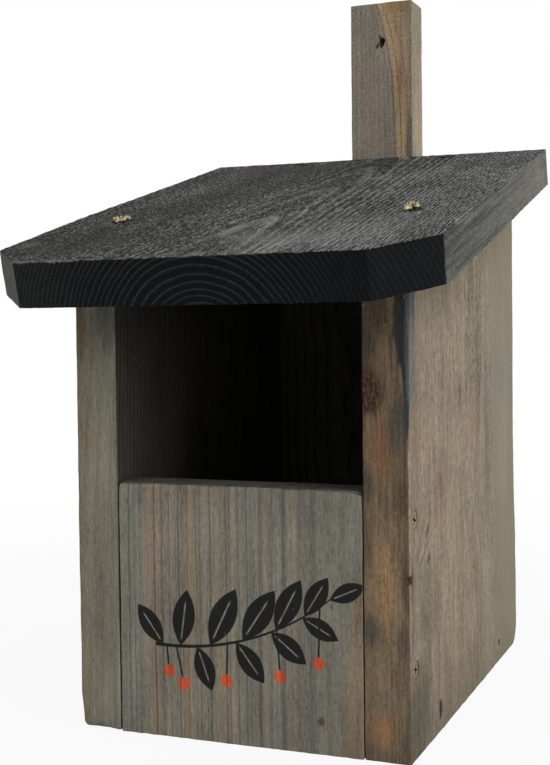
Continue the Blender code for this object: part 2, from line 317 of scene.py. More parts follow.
class Nodes:
    """The nodes of a material or of the world."""

    def __init__(self, owner):
        owner.use_nodes = True
        self.tree = owner.node_tree

    def node(self, kind, settings, inputs, output=0):
        """Adds a node: its settings first, then the values or links of its sockets."""
        made = self.tree.nodes.new(kind)
        for key, value in settings.items():
            setattr(made, key, value)
        for key, value in inputs.items():
            self.feed(made.inputs[key], value)
        return Value(self, made.outputs[output])

    def feed(self, socket, value):
        if isinstance(value, Value):
            self.tree.links.new(value.socket, socket)
        else:
            socket.default_value = value

    def coordinate(self, kind="Object"):
        return self.node("ShaderNodeTexCoord", {}, {}, kind)

    def ray(self, kind):
        """1 for rays of this kind."""
        return self.node("ShaderNodeLightPath", {}, {}, f"Is {kind} Ray")

    def math(self, operation, *values):
        return self.node("ShaderNodeMath", {"operation": operation}, dict(enumerate(values)))

    def vector(self, operation, a, b, output=0):
        return self.node("ShaderNodeVectorMath", {"operation": operation}, {0: a, 1: b}, output)

    def dot(self, a, b):
        return self.vector("DOT_PRODUCT", a, b, 1)

    def length(self, vector):
        return self.vector("LENGTH", vector, (0, 0, 0), 1)

    def combine(self, x, y, z):
        return self.node("ShaderNodeCombineXYZ", {}, {0: x, 1: y, 2: z})

    def noise(self, at, stretch, detail=2.0, roughness=0.5):
        """Cloudy noise from about 0.2 to 0.8, whose cells measure 1 / stretch along each axis."""
        scaled = self.vector("MULTIPLY", at, stretch)
        inputs = {"Vector": scaled, "Scale": 1.0, "Detail": detail, "Roughness": roughness}
        return self.node("ShaderNodeTexNoise", {}, inputs)

    def mix(self, share, a, b):
        """Colour a where the share is 0, b where it is 1."""
        settings = {"data_type": "RGBA", "clamp_factor": True}
        return self.node("ShaderNodeMix", settings, {0: share, 6: a, 7: b}, 2)

    def scale(self, colour, factor):
        return self.node("ShaderNodeVectorMath", {"operation": "SCALE"}, {0: colour, "Scale": factor})


class Finish(Nodes):
    """The nodes of one surface finish, which end in its Principled BSDF."""

    def __init__(self, name, gloss=0.3):
        self.material = bpy.data.materials.new(name)
        super().__init__(self.material)
        self.shader = self.tree.nodes["Principled BSDF"]
        self.shader.inputs["Specular IOR Level"].default_value = gloss

    def done(self, colour, roughness, height):
        """Feeds the shader. The height of the surface is in millimetres."""
        self.feed(self.shader.inputs["Base Color"], colour)
        self.feed(self.shader.inputs["Roughness"], roughness)
        inputs = {"Strength": 1.0, "Distance": 1 / MILLIMETRES, "Height": height}
        self.feed(self.shader.inputs["Normal"], self.node("ShaderNodeBump", {}, inputs))
        return self.material


def rgb(code):
    """A colour written as on screen, six hexadecimal digits, as linear red, green, blue and alpha."""
    shares = [int(code[i:i + 2], 16) / 255 for i in (0, 2, 4)]
    linear = [s / 12.92 if s <= 0.04045 else ((s + 0.055) / 1.055) ** 2.4 for s in shares]
    return (*linear, 1.0)


INSIDE_SHADE = "3c3a33"  # painted shade: the nest side of the boards, made dark like the unlit inside of the nest
# the growth lines in that painted shade
INSIDE_SHADE_LINES = "1f1d19"
PALE_SPECKS = "a89d8a"
PINE_ROUGHNESS = 0.82
RING_SWAY = 2.2  # how strongly noise shifts the year lines, in rings
LATEWOOD = (0.45, 0.90)  # a ring darkens between these shares of its width
YEAR_END = (0.93, 1.0)  # and ends between these


class Pine(Finish):
    """Sawn pine as solid wood: every face shows what a cut through the same rings would show.

    at is the place in the board in millimetres: across it, through it and along its grain. The
    ring count at a point is its distance from the pith's line over the rings' spacing, plus its
    square times tighter, shaken by noise that is drawn out along the grain. fibre and felt are the
    width, length and strength of two finer patterns. shade gathers what lightens or darkens.
    """

    def __init__(self, name, frame, pith, lean, spacing, sway, colours, gloss=0.3, tighter=0.0,
                 fibre=(1.0, 7.0, 1.2), felt=(1.0, 1.7, 1.4)):
        super().__init__(name, gloss)
        origin, *directions = frame
        self.normal = self.coordinate("Normal")
        moved = self.vector("SUBTRACT", self.coordinate(), tuple(origin))
        axes = [self.dot(moved, tuple(MILLIMETRES * np.array(axis))) for axis in directions]
        self.across, self.through, self.along = axes
        self.at = self.combine(*axes)
        wide = self.noise(self.at, (0.02, 0.02, 0.008), 3.0) - 0.5
        close = self.noise(self.at, (0.05, 0.05, 0.016), 2.0) - 0.5
        a = self.across - self.along * lean[0] - pith[0] + wide * sway
        t = self.through - self.along * lean[1] - pith[1] + close * sway
        radius = self.math("SQRT", a * a + t * t)
        uneven = self.noise(self.combine(radius, 0.0, self.along * 0.02), (0.06,) * 3, 1.0) - 0.5
        rings = radius / spacing + radius * radius * tighter + uneven * RING_SWAY
        turn = self.math("FRACT", rings)
        self.late = turn.over(*LATEWOOD) * turn.under(*YEAR_END)
        self.ragged = self.noise(self.at, (0.22, 0.22, 0.06), 3.0) - 0.5
        self.fibre = self.streaks(*fibre[:2], 3.0) - 0.5
        self.felt = self.streaks(*felt[:2], 2.0) - 0.5
        self.specks = self.flecks(1.3, 1.6, 0.82, 0.86, 0.0)
        self.pits = self.flecks(0.9, 4.0, 0.60, 0.74)
        self.colour = self.mix(self.late, rgb(colours[0]), rgb(colours[1]))
        broad = self.streaks(4.0, 90) - 0.5
        cloud = self.noise(self.at, (0.06, 0.06, 0.03), 3.0) - 0.5
        self.shade = (1 + self.fibre * fibre[2] + self.felt * felt[2] + broad * 0.7 + cloud * 0.8
                      - self.pits * 0.3)
        self.height = self.late * 0.08 + self.fibre * 0.25 + self.felt * 0.12 - self.pits * 0.15

    def streaks(self, width, length, detail=2.0):
        """Noise drawn out along the grain: cells of about this width and length in millimetres.

        The width may be a pair, across the board and through it.
        """
        across, through = width if isinstance(width, tuple) else (width, width)
        return self.noise(self.at, (1 / across, 1 / through, 1 / length), detail, 0.6)

    def flecks(self, width, length, low, high, detail=2.0):
        """1 where such drawn-out noise is over high, 0 where it is under low."""
        return self.streaks(width, length, detail).over(low, high)

    def turned(self, centre, size, lean):
        """Coordinates from a centre, over these sizes, whose last axis leans from the grain."""
        rotation = (0, math.radians(lean), 0)
        inputs = {"Vector": self.at, "Location": centre, "Scale": size, "Rotation": rotation}
        return self.node("ShaderNodeMapping", {"vector_type": "TEXTURE"}, inputs)

    def spot(self, centre, reach, lean=0.0, fade=0.7, wobble=0.9):
        """1 inside an ellipsoid, fading to nothing at its rim, which noise makes ragged.

        Its length leans from the grain by this angle, in degrees, towards the across direction.
        """
        within = self.turned(centre, reach, lean)
        far = self.length(within) + (self.ragged + self.fibre * 0.4) * wobble
        return far.under(1 - fade, 1.0)

    def faces(self, direction):
        """1 on the faces that look this way."""
        return self.dot(self.normal, tuple(direction)).over(0.6, 0.8)

    def stain(self, share, code):
        self.colour = self.mix(share, self.colour, rgb(code))

    def shadow(self, share, depth):
        self.shade = self.shade * (1 - share * depth)

    def bands(self, value, rows):
        """Stains bands of a value: from, to, softness, colour and strength."""
        for low, high, soft, code, strength in rows:
            self.stain(value.band(low, high, soft) * strength, code)

    def stains(self, depth, rows, edge=False, fade=0.7, wobble=0.9):
        """Stains spots of a face, or of the edge where across is 0, that reach so deep into the wood.

        A row holds the middle across and along, the half width and half length, the lean, the colour
        and the strength, and its own depth where that differs. On the edge, through replaces across.
        """
        for place, along, width, length, lean, code, strength, *own in rows:
            deep = own[0] if own else depth
            centre, reach = (place, 0, along), (width, deep, length)
            if edge:
                centre, reach = (0, place, along), (deep, width, length)
            self.stain(self.spot(centre, reach, lean, fade, wobble) * strength, code)

    def inside(self, direction):
        """Paints shade on the face that looks into the nest, and brings out its growth lines in it."""
        face = self.faces(direction)
        self.stain(face, INSIDE_SHADE)
        self.stain(face * self.late * 0.7, INSIDE_SHADE_LINES)

    def finish(self, specks=0.5):
        self.stain(self.specks * specks, PALE_SPECKS)
        colour = self.scale(self.colour, self.shade)
        return self.done(colour, PINE_ROUGHNESS + self.fibre * 0.25, self.height)


def board_frame(node, across=(1, 0, 0), through=(0, 1, 0), along=(0, 0, 1)):
    """A board's frame for its pattern: its origin is the corner of its box that its axes start from."""
    low, high = corners(node)
    total = np.array(across) + through + along
    return np.where(total > 0, low, high), across, through, along


# painted shade in the hollow or slot over each screw head, and pale torn fibres over the nearly covered one:
# reach, colour and strength
HEAD_SHADE_AND_FIBRES = {FUNNEL: ((4.3, 3, 4.3), "4b4338", 0.7), SLIT: ((3.2, 3, 5.4), "2f261c", 0.9),
               NICK: ((2.8, 3, 2.8), "2f261c", 0.9), PINHOLE: ((2.4, 3, 2.2), "9c917d", 0.7)}


def shade_and_fibres_at_head(wood, place, spans):
    """Paints shade round a screw head, in a ring or a slot where the wood has closed over it, or pale torn
    fibres over a head it nearly covers.
    """
    reach, code, strength = HEAD_SHADE_AND_FIBRES[spans]
    wood.stain(wood.spot(place, reach, 0, 0.4, 0.5) * strength, code)


def shade_and_fibres_at_screws(wood, side, outward):
    """Paints the shade and the pale fibres of a side panel at each of its screws."""
    front = corners(side + "_side_panel")[0][1]
    for name, spans in HOLLOWS:
        centre = head_of(name + "_" + side, outward)
        shade_and_fibres_at_head(wood, ((centre[1] - front) * MILLIMETRES, 0, centre[2] * MILLIMETRES), spans)


wood = Pine("left_side_pine", board_frame("left_side_panel", (0, 1, 0), (1, 0, 0)), (150, 90), (0.03, 0.01),
            2.7, 4.0, ("797567", "726d5d"), fibre=(1.0, 7.0, 0.7), felt=(1.0, 2.0, 0.7))
wood.bands(wood.through + wood.ragged * 6, [(-9, 7.0, 3.0, "7c6c52", 0.45)])
wood.stains(9, (
    (2, 185, 4, 34, 0, "625339", 0.6), (16, 195, 9, 40, 0, "504e47", 0.8),
    (10, 60, 14, 50, 0, "767062", 0.6), (5, 128, 3, 10, 0, "75624c", 0.5),
    (0, 100, 2, 60, 0, "5d5546", 0.5), (20, 90, 2, 80, 0, "59544a", 0.5),
), edge=True)
wood.stains(5, ((110, 60, 14, 60, 4, "85705d", 0.5), (60, 150, 20, 40, -6, "6b6355", 0.5)))
# painted shade under the roof: the panel darker towards its top
wood.shadow(wood.along.over(135, 200), 0.22)
# painted shade round the screw heads, and pale fibres over the nearly covered one
shade_and_fibres_at_screws(wood, "left", (-1, 0, 0))
# painted shade on the face that looks into the nest
wood.inside((1, 0, 0))
left_worn = ((corners("left_side_panel")[0][1], 0.0), (0.03, 0.012, 0.016), 0.0030)
add_piece("weathered_left_side", *side_panel("left", 1, 11, left_worn), wood.finish(),
          ["left_side_panel"], "left_side_pine")


# Right side panel
#
# The left one's mirror image, from a board with more life in it: a red knot in its front edge, a
# spike knot that comes out at the front arris, blue stain at the top and warm heartwood streaks.

CHIP_HEIGHT = 0.0746
RIGHT_TAPER = 0.0012  # the board is this much thinner along its rear edge,
RIGHT_THINNED = (0.05, 0.5)  # which begins and is full at these shares of its height
RIGHT_MARKS = (  # checks that fan out from the spike knot: foot, height, length and lean
    (4, 76, 34, 52), (5, 77, 38, 44), (6, 73, 40, 58), (7, 79, 30, 36),
)

wood = Pine("right_side_pine", board_frame("right_side_panel", (0, 1, 0), (-1, 0, 0)), (105, 75),
            (0.05, 0.02), 3.6, 9.0, ("7e7361", "7a6e5b"), fibre=((1.8, 1.0), 16.0, 1.15),
            felt=((2.4, 1.0), 2.4, 1.15))
right_face = wood.faces((1, 0, 0))
right_edge = wood.faces((0, -1, 0))
warm = wood.across + wood.ragged * 40
wood.stain(warm.over(10, 60) * warm.under(70, 120) * 0.5, "837562")
wood.stain((wood.across + wood.ragged * 20).over(100, 170) * 0.5, "7a7563")
wood.stain(right_edge, "73614b")
wood.stain(right_edge * wood.flecks(1.5, 26.0, 0.48, 0.62, 3.0) * 0.5, "40342a")
wood.stains(6, (
    (10, 34, 15, 70, 0, "83725b", 1.0, 9), (15, 186, 9, 28, 0, "463c2f", 0.75),
    (20, 166, 8, 18, 0, "3e3429", 0.85), (12, 128, 8, 20, 0, "74583c", 0.8),
    (12, 76, 11, 30, 0, "8d7458", 0.85), (10, 70, 4, 24, 0, "a8855f", 0.75),
    (12, 14, 10, 13, 0, "8d7052", 0.8), (11, 12, 5, 9, 0, "a67f5a", 0.65), (10, 35, 8, 9, 0, "937a5d", 0.7),
    (1.5, 72, 3.4, 16, 0, "50362a", 0.75), (17, 53, 6, 10, 0, "464540", 0.8),
    (3, 50, 5, 12, 10, "51453a", 0.7), (5, 36, 6, 12, 0, "645443", 0.6), (3, 76, 4, 16, 0, "64503d", 0.5),
    (18, 112, 5, 12, 0, "463f35", 0.8), (19, 86, 4, 24, 0, "574a3b", 0.5),
    (3, 108, 5, 14, 0, "4c3d30", 0.7), (5.5, 135, 6, 16, 0, "4b4741", 0.8),
    (18, 150, 9.5, 15, 0, "47321f", 0.9, 22), (11.5, 128, 0.6, 18, 0, "6e4029", 0.6),
    (1, 75, 1.2, 16, 0, "5a3b2e", 0.4),
), edge=True)
wood.stains(3, (
    (14, 128, 18, 36, 0, "887361", 0.65), (52, 106, 19, 32, 30, "776454", 0.8),
    (87, 144, 3.5, 8, 12, "554a3b", 0.65), (115, 128, 13, 24, -3, "806b5b", 0.75),
    (144, 134, 11, 62, -4, "69645a", 0.8), (145, 104, 8, 46, 0, "68624f", 0.7),
    (185, 120, 22, 100, 0, "857b6b", 0.7), (176, 148, 26, 26, 0, "767267", 0.8),
    # (50, 206) and (150, 248) are painted shade under the roof's overhang
    (126, 185, 10, 26, 0, "6b6455", 0.6), (50, 206, 64, 42, 0, "6a604f", 0.8),
    (150, 248, 70, 44, 0, "696151", 0.8), (65, 66, 16, 56, 6, "857460", 0.6),
    (117, 50, 4, 46, -4, "72614f", 0.6), (30, 60, 24, 26, 40, "6c6153", 0.7),
    (14, 18, 26, 30, 20, "57513f", 0.8), (60, 6, 70, 10, 80, "6a6354", 0.5),
    (172, 52, 44, 60, 0, "756d5d", 0.5),
))
wood.stains(1.0, (
    (3.4, 186, 3.9, 32, 0, "2f2e28", 0.9, 2), (0.5, 172, 4.4, 40, 0, "252a30", 0.95),
    (0.5, 146, 3.0, 17, 0, "2f373f", 0.85),
), edge=True, fade=0.35)
wood.stains(3, (
    (2, 176, 8, 46, 0, "636461", 0.65, 2.5), (2, 200, 11, 30, 0, "48494a", 0.85, 2.5),
    (0.5, 74.6, 2.6, 1.8, 0, "241d18", 0.9, 2.0), (167.6, 10, 6.5, 4.6, 0, "9a8b75", 0.5),
    (125, 162, 5, 40, 0, "6d6553", 0.5), (109, 196, 7, 22, 0, "6b6352", 0.45),
), fade=0.35)
knot = wood.spot((0, 18, 150), (22, 7.5, 11.5), 0, 0.4, 0.7)
knot_bark = wood.noise(wood.at, (0.9, 0.9, 0.5), 2.0).over(0.40, 0.62)
wood.stain(knot, "2a1d11")
wood.stain(knot * knot_bark * 0.8, "5f4529")
wood.stain(knot * wood.felt.over(0.15, 0.22) * 0.5, "a08a6c")
for foot, height, length, lean in RIGHT_MARKS:
    across = foot + length / 2 * math.sin(math.radians(lean))
    along = height + length / 2 * math.cos(math.radians(lean))
    wood.stain(wood.spot((across, 0, along), (1.0, 3, length / 2), lean, 0.6, 0.5) * 0.5, "4a4036")
wood.stains(3, (
    (26.5, 90.5, 2.6, 5.4, 42, "443a2e", 0.9), (27.5, 78.7, 2.2, 3.8, 55, "443a2e", 0.9),
    (112, 60, 1.8, 1.4, 0, "443a2e", 0.9),
), fade=0.6, wobble=0.4)
smooth = (wood.across + wood.ragged * 8).over(150, 166) * right_face * 0.75  # a strip at the rear
wood.shade = wood.shade * (1 - smooth) + smooth * 0.98
wood.shadow(wood.spot((120, 0, 188), (28, 3, 66), 0, 0.6) * wood.flecks(1.8, 2.4, 0.50, 0.62), 0.42)
wood.shadow(wood.flecks(2.4, 2.0, 0.62, 0.70) * right_face * (1 - smooth), 0.40)
wood.shadow((wood.along + wood.across * 0.15 + wood.ragged * 30).under(0, 55), 0.28)
wood.shadow((wood.across + wood.ragged * 14).under(0, 26), 0.17)
# painted shade under the roof's overhang, on the side face
under_roof = wood.along - wood.across * SLOPE_RISE + wood.ragged * 20
wood.shadow(under_roof.over(150, 200) * right_face, 0.22)
arris_wear_and_highlight = (wood.across + wood.through + wood.ragged * 0.8).under(0.5, 1.4)  # the front arris, paler: partly wear, partly painted highlight
arris_wear_and_highlight = arris_wear_and_highlight * wood.along.under(122, 145)
wood.stain(arris_wear_and_highlight * (wood.along.over(20, 40) * 0.5 + 0.3), "a3927d")
# painted shade round the screw heads, and pale fibres over the nearly covered one
shade_and_fibres_at_screws(wood, "right", (1, 0, 0))
# painted shade on the face that looks into the nest
wood.inside((-1, 0, 0))
low, high = corners("right_side_panel")
right_worn = ((high[1], 0.0), (0.03, 0.009, 0.009), 0.0036)
points, quads = side_panel("right", -1, 12, right_worn, CHIP_HEIGHT)
share = (points - low) / (high - low)
points[:, 0] -= RIGHT_TAPER * share[:, 0] * share[:, 1] * rise(share[:, 2], *RIGHT_THINNED)
add_piece("weathered_right_side", points, quads, wood.finish(), ["right_side_panel"], "right_side_pine")


# Front panel
#
# A low board of finer pine, its grain upright, let in flush between the side panels and held by
# two screws from each side. Its arrises are sanded rounder, and a leafy twig is printed on it.

FRONT_STEP = (0.0014, 0.0025, 0.0014)
FRONT_SIDE_ARRIS = 0.0005
FRONT_TOP_ARRIS = 0.0016
FRONT_ROUND = (0.012, 0.004)  # it begins this far from the right end, and this far below the top
FRONT_LINES = (  # thin dark latewood lines: millimetres from the left edge, half width, depth
    (4.6, 0.30, 0.30), (7.3, 0.25, 0.25), (9.9, 0.25, 0.22), (17.2, 0.35, 0.35), (20.9, 0.25, 0.30),
    (24.4, 0.25, 0.25), (28.8, 0.30, 0.32), (32.8, 0.25, 0.22), (36.9, 0.30, 0.25), (38.9, 0.25, 0.18),
    (43.6, 0.35, 0.28), (50.9, 0.40, 0.25), (52.6, 0.30, 0.18), (56.4, 0.35, 0.22), (60.2, 0.45, 0.25),
    (66.5, 0.9, 0.20), (71.5, 0.7, 0.15), (77.0, 1.2, 0.20), (84.0, 1.0, 0.14), (90.0, 1.5, 0.16),
)
FRONT_HUES = (  # broad bands between the lines: from, to, softness, colour, strength
    (-3, 13, 2.5, "73746a", 0.6), (12.5, 20.5, 1.5, "87745f", 0.5), (22, 26, 1.2, "807a6c", 0.6),
    (29, 38, 2, "7e705c", 0.5), (40, 43, 1, "868071", 0.6), (44, 50, 2, "82725c", 0.4),
    (53, 56, 1, "87806e", 0.5), (60, 66, 2, "6d6f69", 0.6), (67, 71, 1.2, "7f7869", 0.6),
    (72, 77, 2, "6c6f6a", 0.6), (79, 84, 1.5, "7f7667", 0.6), (85, 91, 2, "6c6e68", 0.5),
    (92, 101, 3, "6e6d63", 0.5), (99, 120, 3, "6f6f66", 0.5),
)
TWIG_CENTRE = (25.0, 158.0)  # the stem is an arc: its centre and radius, in millimetres
TWIG_RADIUS = 118.0
TWIG_LEAVES = (  # place along the panel, lean from upright in degrees, length and half width
    (21, -36, 21, 4.8), (29, 8, 25, 5.4), (37, 160, 20, 4.8), (43, 26, 28, 6.0), (55, 142, 21, 5.0),
    (58, 34, 27, 5.8), (71, 128, 20, 4.8), (73, 28, 25, 5.4), (85, 118, 18, 4.2), (86, 32, 20, 4.6),
    (97, 66, 17, 4.0),
)
TWIG_BERRIES = (  # place of the middle, radius, and the stalk's lean from upright
    (23.5, 29, 2.8, -5), (30.5, 24, 3.0, -12), (50.5, 27, 2.9, 2), (75, 31, 2.8, -4), (92, 38, 2.6, 2),
)
PRINT_BLACK = "040404"
PRINT_RED = "c2512f"


class Print(Pine):
    """Pine with a twig printed on it, drawn from arcs and lens shapes on the face of the board."""

    def laid(self, x, z, lean, width, length):
        """A shape's own coordinates, its foot at x, z: across over its width, along over its length."""
        turned = self.turned((x, 0, z), (width, 1, length), lean)
        parts = self.node("ShaderNodeSeparateXYZ", {}, {0: turned})
        side, _, up = (Value(self, output) for output in parts.socket.node.outputs)
        return abs(side), up

    def leaf(self, x, z, lean, length, width):
        """1 in a leaf: its half width is four times t times 1 - t along it, with a fine bare midrib."""
        side, t = self.laid(x, z, lean, width, length)
        body = (t * (1 - t) * 4 - side).over(0.0, 0.07)
        off_rib = side.over(0.04, 0.09) + t.over(0.70, 0.82)
        return body * self.math("MINIMUM", off_rib + t.under(0.10, 0.16), 1.0)

    def stalk(self, x, z, lean, length, width):
        """1 within the half width of a line of this length."""
        side, t = self.laid(x, z, lean, width, length)
        return side.under(0.7, 1.1) * t.band(0.0, 1.0, 0.03)

    def disc(self, x, z, radius):
        """1 where both coordinates squared add up to less than the radius squared."""
        side, t = self.laid(x, z, 0, radius, radius)
        return (side * side + t * t).under(0.88, 1.06)

    def either(self, shapes):
        total = shapes[0]
        for shape in shapes[1:]:
            total = self.math("MAXIMUM", total, shape)
        return total


def front_arris(points):
    """The front panel's arrises: crisp at the sides, sanded round along the top and at its right end."""
    top = rise(points[:, 2], front_high[2] - FRONT_ROUND[1], front_high[2])
    corner = top * rise(points[:, 0], front_high[0] - FRONT_ROUND[0], front_high[0])
    return FRONT_SIDE_ARRIS + (FRONT_TOP_ARRIS - FRONT_SIDE_ARRIS) * top + FRONT_TOP_ARRIS * corner


front_low, front_high = corners("front_panel")
wood = Print("front_panel_pine", board_frame("front_panel"), (116, 40), (0.0, 0.0), 2.8, 1.2,
             ("7c766a", "756f62"), fibre=(0.9, 9.0, 0.85), felt=(1.0, 2.4, 1.0))
wood.bands(wood.across + wood.ragged * 1.6, FRONT_HUES)
front_waver = wood.across + (wood.noise(wood.at, (0.02, 0.02, 0.012), 1.0) - 0.5) * 2.0
for middle, half, depth in FRONT_LINES:
    wood.shadow(abs(front_waver - middle).under(half * 0.3, half * 1.6), depth * 1.5)
wood.bands(front_waver, ((32.4, 33.3, 0.4, "9c6848", 0.55), (16.9, 17.7, 0.3, "94684c", 0.4)))
wood.stain(wood.spot((93, 0, 14), (2.2, 3, 3.0)) * 0.8, "4a3c30")
wedge = wood.math("MAXIMUM", wood.along * 0.0735 + 101.9, wood.along * 0.5 + 72.5)  # heartwood's edge
wood.stain((wood.across + wood.ragged * 0.8 - wedge).over(-0.3, 0.5) * 0.85, "7d6d59")
# painted shade of the roof on the top right of the panel
wood.shadow(wood.along.over(88, 108) * wood.across.over(40, 90), 0.14)
# darker top face: end grain, and partly painted shade under the roof
wood.stain(wood.faces((0, 0, 1)), "5a5650")


def on_stem(x):
    """The stem's height at x: its circle's centre less the root of radius squared less distance squared."""
    return TWIG_CENTRE[1] - math.sqrt(TWIG_RADIUS ** 2 - (x - TWIG_CENTRE[0]) ** 2)


from_centre = wood.vector("SUBTRACT", wood.at, (TWIG_CENTRE[0], 0, TWIG_CENTRE[1]))
from_centre = wood.vector("MULTIPLY", from_centre, (1, 0, 1))
off_stem = abs(wood.length(from_centre) - TWIG_RADIUS)
stem = (off_stem + wood.across * 0.006).under(0.75, 1.05)
stem = stem * wood.across.band(17, 98, 0.3) * wood.along.under(70, 72)
leaves = [wood.leaf(x, on_stem(x), lean, length, width) for x, lean, length, width in TWIG_LEAVES]
stalks = [wood.stalk(x, z, lean, on_stem(x) - z + 1, 0.45) for x, z, _, lean in TWIG_BERRIES]
berries = wood.either([wood.disc(x, z, radius) for x, z, radius, _ in TWIG_BERRIES])
printed_face = wood.faces((0, -1, 0)) * (1 - wood.flecks(0.9, 7.0, 0.68, 0.80, 3.0) * 0.35)
wood.stain(wood.either([stem, *leaves, *stalks]) * printed_face * 0.99, PRINT_BLACK)
wood.stain(berries * printed_face * 0.95, PRINT_RED)
points, quads = sawn_board(front_low, front_high, FRONT_STEP, 21, arris=front_arris)
add_piece("printed_front_panel", points, quads, wood.finish(specks=0.25),
          ["front_panel"], "front_panel_pine")


# Back panel
#
# A pine board between the side panels, its top sawn to the slope. A screw from each side holds it,
# and the batten's screws come through the batten into it.

wood = Pine("back_panel_pine", board_frame("back_panel"), (50, -60), (0.0, 0.02), 3.1, 6.0,
            ("746c5d", "665e50"))
# painted shade on the face that looks into the nest
wood.inside((0, -1, 0))
low, high = corners("back_panel")
high[2] -= (high[1] - low[1]) * SLOPE_RISE
points, quads = sawn_board(low, high, PANEL_STEP, 31)
slope_top(points, low, high)
add_piece("weathered_back_panel", points, quads, wood.finish(), ["back_panel"], "back_panel_pine")


# Floor board
#
# A pine board between the four walls, flush with their bottom edges, its grain from front to back.
# Two screws from each side hold it.

wood = Pine("floor_board_pine", board_frame("floor_board", (1, 0, 0), (0, 0, 1), (0, 1, 0)), (60, 70),
            (0.0, 0.02), 2.9, 6.0, ("746c5d", "665e50"))
# painted shade on the face that looks into the nest
wood.inside((0, 0, 1))
points, quads = sawn_board(*corners("floor_board"), PANEL_STEP, 41)
add_piece("weathered_floor_board", points, quads, wood.finish(), ["floor_board"], "floor_board_pine")


# Roof board
#
# One thick pine board, its grain from front to back, stained charcoal on its top, ends and edges
# and left rough from the saw. Both front corners are sawn off, and four screws go down through it.

ROOF_STEP = (0.0015, 0.0020, 0.0020)
ROOF_CLIP_ALONG = 0.0265
ROOF_LEFT = (0.0748, 0.0982, 0.0985)  # half spans at the front end, behind the sawn corner and at the rear
ROOF_RIGHT = (0.0742, 0.0969, 0.0947)
ROOF_WIDEST = ROOF_LEFT[2]
ROOF_SKEW = (0.0013, 0.0017)  # the front end's right corner and the rear's left one are this much short
ROOF_SWELL = 0.0011  # the board is this much thicker at its rear left,
ROOF_SWOLLEN = (0.05, 0.4)  # which begins and is full at these shares of its length
ROOF_WAVER = 0.0003
ROOF_ARRIS = 0.0003
TORN_DEPTH = 0.0022  # the hollows round the roof screws
TORN_WALL = (0.25, 0.5)  # their walls run between these shares of the splinters' half spans,
SPLINTER_RISE = (0.35, 0.6)  # the splinters rise between these
SPLINTER_FALL = (0.8, 1.4)  # and fall off between these
TORN_RAGGED = 0.22  # waves shift all of them by up to this share
TORN_WAVES = (0.003, 0.006, 0.003)
SPLINTER_WAVES = (0.0034, 0.006, 0.0034)
TORN = (  # the splinters at each screw: their middle's shift across, height and half spans
    (0.0, 0.0020, (0.0036, 0.0044)), (-0.0016, 0.0030, (0.0024, 0.0048)),
    (0.0, 0.0009, (0.0038, 0.0038)), (0.0, 0.0009, (0.0038, 0.0038)),
)
ROOF_DARK = (  # darker areas of the top: across, along, half width, half length and depth
    (6, 165, 34, 64, 0.35), (-40, 185, 38, 64, 0.35), (-66, 36, 52, 52, 0.50), (-50, 110, 40, 90, 0.28),
    (-8, 232, 44, 44, 0.42),
)

level_share, rising_share = math.cos(ROOF_SLOPE), math.sin(ROOF_SLOPE)
slope_turn = np.array((  # rows: across, up the slope and up out of it
    (1, 0, 0), (0, level_share, rising_share), (0, -rising_share, level_share),
))
low, high = corners("roof_board")
span = high - low
spread = math.cos(2 * ROOF_SLOPE)
roof_length = (span[1] * level_share - span[2] * rising_share) / spread
roof_thickness = (span[2] * level_share - span[1] * rising_share) / spread
roof_corner = np.array((0, low[1] + roof_thickness * rising_share, low[2]))


def on_roof(place):
    """A place in the roof's own frame: its offset from the roof's corner, turned by the slope."""
    return (place - roof_corner) @ slope_turn.T


roof_heads = [on_roof(head_of("roof_screw_" + place, slope_turn[2]))
              for place in ("front_left", "front_right", "rear_left", "rear_right")]
roof_block = np.array(((-ROOF_WIDEST, 0, 0), (ROOF_WIDEST, roof_length, roof_thickness)))


def half_spans(up, sides):
    """The roof's half span at each distance up the slope, on the side that each x lies on.

    It runs straight from the front end to behind the sawn corner, and from there to the rear end.
    """
    places = (0, ROOF_CLIP_ALONG, roof_length)
    return np.where(sides < 0, np.interp(up, places, ROOF_LEFT), np.interp(up, places, ROOF_RIGHT))


def torn_wood(points, head, shift, height, reach):
    """The hollow that a sunk head leaves in rough wood, with splinters standing up at its rim.

    The distance from the head over the splinters' half spans, made ragged by waves, says how far up
    or down a point goes: down inside, up by the height times a second wave round that.
    """
    offset = points[:, :2] - head[:2] - (shift, 0)
    far = np.linalg.norm(offset / reach, axis=1)
    far = far + TORN_RAGGED * waves(points, TORN_WAVES, 71)
    splinters = np.clip(waves(points, SPLINTER_WAVES, 72) + 0.5, 0, 1)
    up = height * splinters * rise(far, *SPLINTER_RISE) * (1 - rise(far, *SPLINTER_FALL))
    up -= TORN_DEPTH * (1 - rise(far, *TORN_WALL))
    return np.outer(up * (points[:, 2] > roof_thickness / 2), (0, 0, 1))


roof_places = np.array([head[:2] for head in roof_heads])
roof_places[:, 0] *= ROOF_WIDEST / half_spans(roof_places[:, 1], roof_places[:, 0])
points, quads = sawn_board(*roof_block, ROOF_STEP, 51, (*roof_places.T, ()), ROOF_ARRIS, ROOF_WAVER)
points[:, 0] *= half_spans(points[:, 1], points[:, 0]) / ROOF_WIDEST
for head, torn in zip(roof_heads, TORN):
    points += torn_wood(points, head, *torn)
roof_up = points[:, 1] / roof_length
roof_hand = np.clip(points[:, 0] / (2 * ROOF_WIDEST) + 0.5, 0, 1)
points[:, 1] += ROOF_SKEW[0] * roof_hand * (1 - roof_up) - ROOF_SKEW[1] * (1 - roof_hand) * roof_up
points[:, 2] *= 1 + ROOF_SWELL / roof_thickness * (1 - roof_hand) * rise(roof_up, *ROOF_SWOLLEN)
roof_frame = (roof_corner + roof_thickness * slope_turn[2], (1, 0, 0), -slope_turn[2], slope_turn[1])
